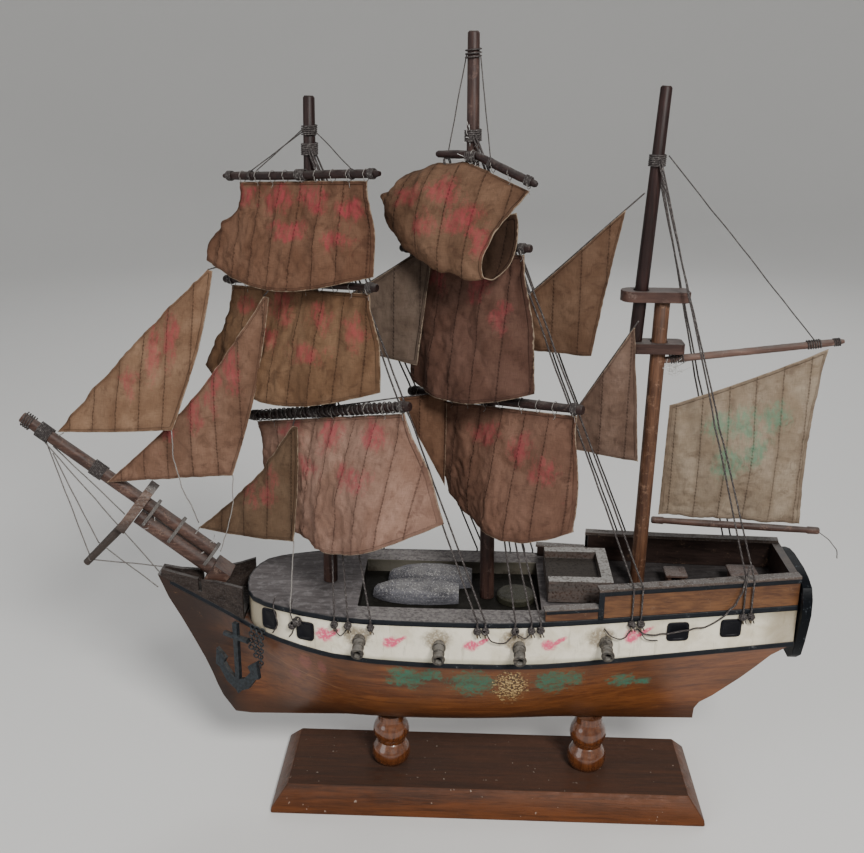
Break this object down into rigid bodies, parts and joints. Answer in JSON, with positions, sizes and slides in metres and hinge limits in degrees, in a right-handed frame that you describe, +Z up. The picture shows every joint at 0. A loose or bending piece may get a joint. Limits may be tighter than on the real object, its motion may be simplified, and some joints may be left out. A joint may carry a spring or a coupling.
{
  "type": "model sailing ship",
  "caption": "Square-rigged model sailing ship with cloth sails, thread rigging and deck fittings, standing on turned posts on a bevelled board.",
  "frame": {"origin": "centre of the stand board's underside", "axes": "+Z up; +X from the bow to the stern along the keel; the ship's port side faces -Y"},
  "size_m": [0.3612, 0.0964, 0.35],
  "materials": {
    "sail_cloth": "plain cotton, sewn in strips, soiled",
    "gun_metal": "dull cast metal with dust",
    "anchor_iron": "black lacquer, worn",
    "rigging_thread": "black waxed thread",
    "stand_wood": "stained board, dusty on top",
    "varnished_post": "turned and varnished, glossy",
    "hull_wood": "varnished, orange brown",
    "white_paint": "off-white paint, dusty deck",
    "bulwark_wood": "varnished with black trim",
    "trim_paint": "blue-black paint, edges worn",
    "dusty_wood": "bare wood under grey dust",
    "green_wood": "dull olive paint",
    "spar_wood": "stained reddish brown, worn"
  },
  "bodies": {
    "ship": {"base_board": "stand_wood", "fore_pedestal": "varnished_post", "aft_pedestal": "varnished_post", "hull_block": "hull_wood", "upper_works": "white_paint", "quarter_bulwark": "bulwark_wood", "transom": "trim_paint", "bowsprit": "spar_wood", "jib_boom": "spar_wood", "bowsprit_cap": "dusty_wood", "beakhead": "dusty_wood", "deck_hatch": "dusty_wood", "round_hatch": "green_wood", "port_boat": "dusty_wood", "starboard_boat": "dusty_wood", "port_gun_1": "gun_metal", "starboard_gun_1": "gun_metal", "port_gun_2": "gun_metal", "starboard_gun_2": "gun_metal", "port_gun_3": "gun_metal", "starboard_gun_3": "gun_metal", "port_gun_4": "gun_metal", "starboard_gun_4": "gun_metal", "fore_lower_mast": "spar_wood", "fore_topmast": "spar_wood", "main_lower_mast": "spar_wood", "main_topmast": "spar_wood", "mizzen_lower_mast": "spar_wood", "mizzen_topmast": "spar_wood", "fore_top": "spar_wood", "main_top": "spar_wood", "mizzen_top": "spar_wood", "mizzen_cap": "spar_wood", "flying_jib": "sail_cloth", "inner_jib": "sail_cloth", "fore_staysail": "sail_cloth", "main_topmast_staysail": "sail_cloth", "main_staysail": "sail_cloth", "mizzen_topmast_staysail": "sail_cloth", "mizzen_staysail": "sail_cloth", "fore_shrouds": "rigging_thread", "main_shrouds": "rigging_thread", "mizzen_shrouds": "rigging_thread"},
    "fore_topgallant": {"fore_topgallant_yard": "spar_wood", "fore_topgallant_sail": "sail_cloth"},
    "fore_topsail": {"fore_topsail_yard": "spar_wood", "fore_topsail_sail": "sail_cloth"},
    "fore_course": {"fore_course_yard": "spar_wood", "fore_course_sail": "sail_cloth"},
    "main_topgallant": {"main_topgallant_yard": "spar_wood", "main_topgallant_sail": "sail_cloth"},
    "main_topsail": {"main_topsail_yard": "spar_wood", "main_topsail_sail": "sail_cloth"},
    "main_course": {"main_course_yard": "spar_wood", "main_course_sail": "sail_cloth"},
    "spanker": {"gaff": "spar_wood", "spanker_boom": "spar_wood", "spanker_sail": "sail_cloth"},
    "port_anchor_hanging": {"port_anchor": "anchor_iron"},
    "starboard_anchor_hanging": {"starboard_anchor": "anchor_iron"}
  },
  "joints": [
    {"name": "fore_topgallant_brace", "type": "hinge", "parent": "ship", "child": "fore_topgallant", "pos_m": [-0.0794, 0, 0.3], "axis": [0, 0, 1], "range_deg": [-8, 2]},
    {"name": "fore_topsail_brace", "type": "hinge", "parent": "ship", "child": "fore_topsail", "pos_m": [-0.08, 0, 0.25], "axis": [0, 0, 1], "range_deg": [-8, 2]},
    {"name": "fore_course_brace", "type": "hinge", "parent": "ship", "child": "fore_course", "pos_m": [-0.0741, 0, 0.196], "axis": [0, 0, 1], "range_deg": [-10, 2]},
    {"name": "main_topgallant_brace", "type": "hinge", "parent": "ship", "child": "main_topgallant", "pos_m": [-0.0124, 0, 0.3], "axis": [0, 0, 1], "range_deg": [-8, 1]},
    {"name": "main_topsail_brace", "type": "hinge", "parent": "ship", "child": "main_topsail", "pos_m": [-0.012, 0, 0.265], "axis": [0, 0, 1], "range_deg": [-5, 2]},
    {"name": "main_course_brace", "type": "hinge", "parent": "ship", "child": "main_course", "pos_m": [-0.0037, 0, 0.2], "axis": [0, 0, 1], "range_deg": [-10, 2]},
    {"name": "spanker_swing", "type": "hinge", "parent": "ship", "child": "spanker", "pos_m": [0.0684, 0, 0.142], "axis": [0, 0, 1], "range_deg": [-18, 18]},
    {"name": "port_anchor_swing", "type": "hinge", "parent": "ship", "child": "port_anchor_hanging", "pos_m": [-0.117, -0.0169, 0.0931], "axis": [0.8712, -0.4909, 0], "range_deg": [-40, 0]},
    {"name": "starboard_anchor_swing", "type": "hinge", "parent": "ship", "child": "starboard_anchor_hanging", "pos_m": [-0.117, 0.0169, 0.0931], "axis": [0.8712, 0.4909, 0], "range_deg": [0, 40]}
  ]
}
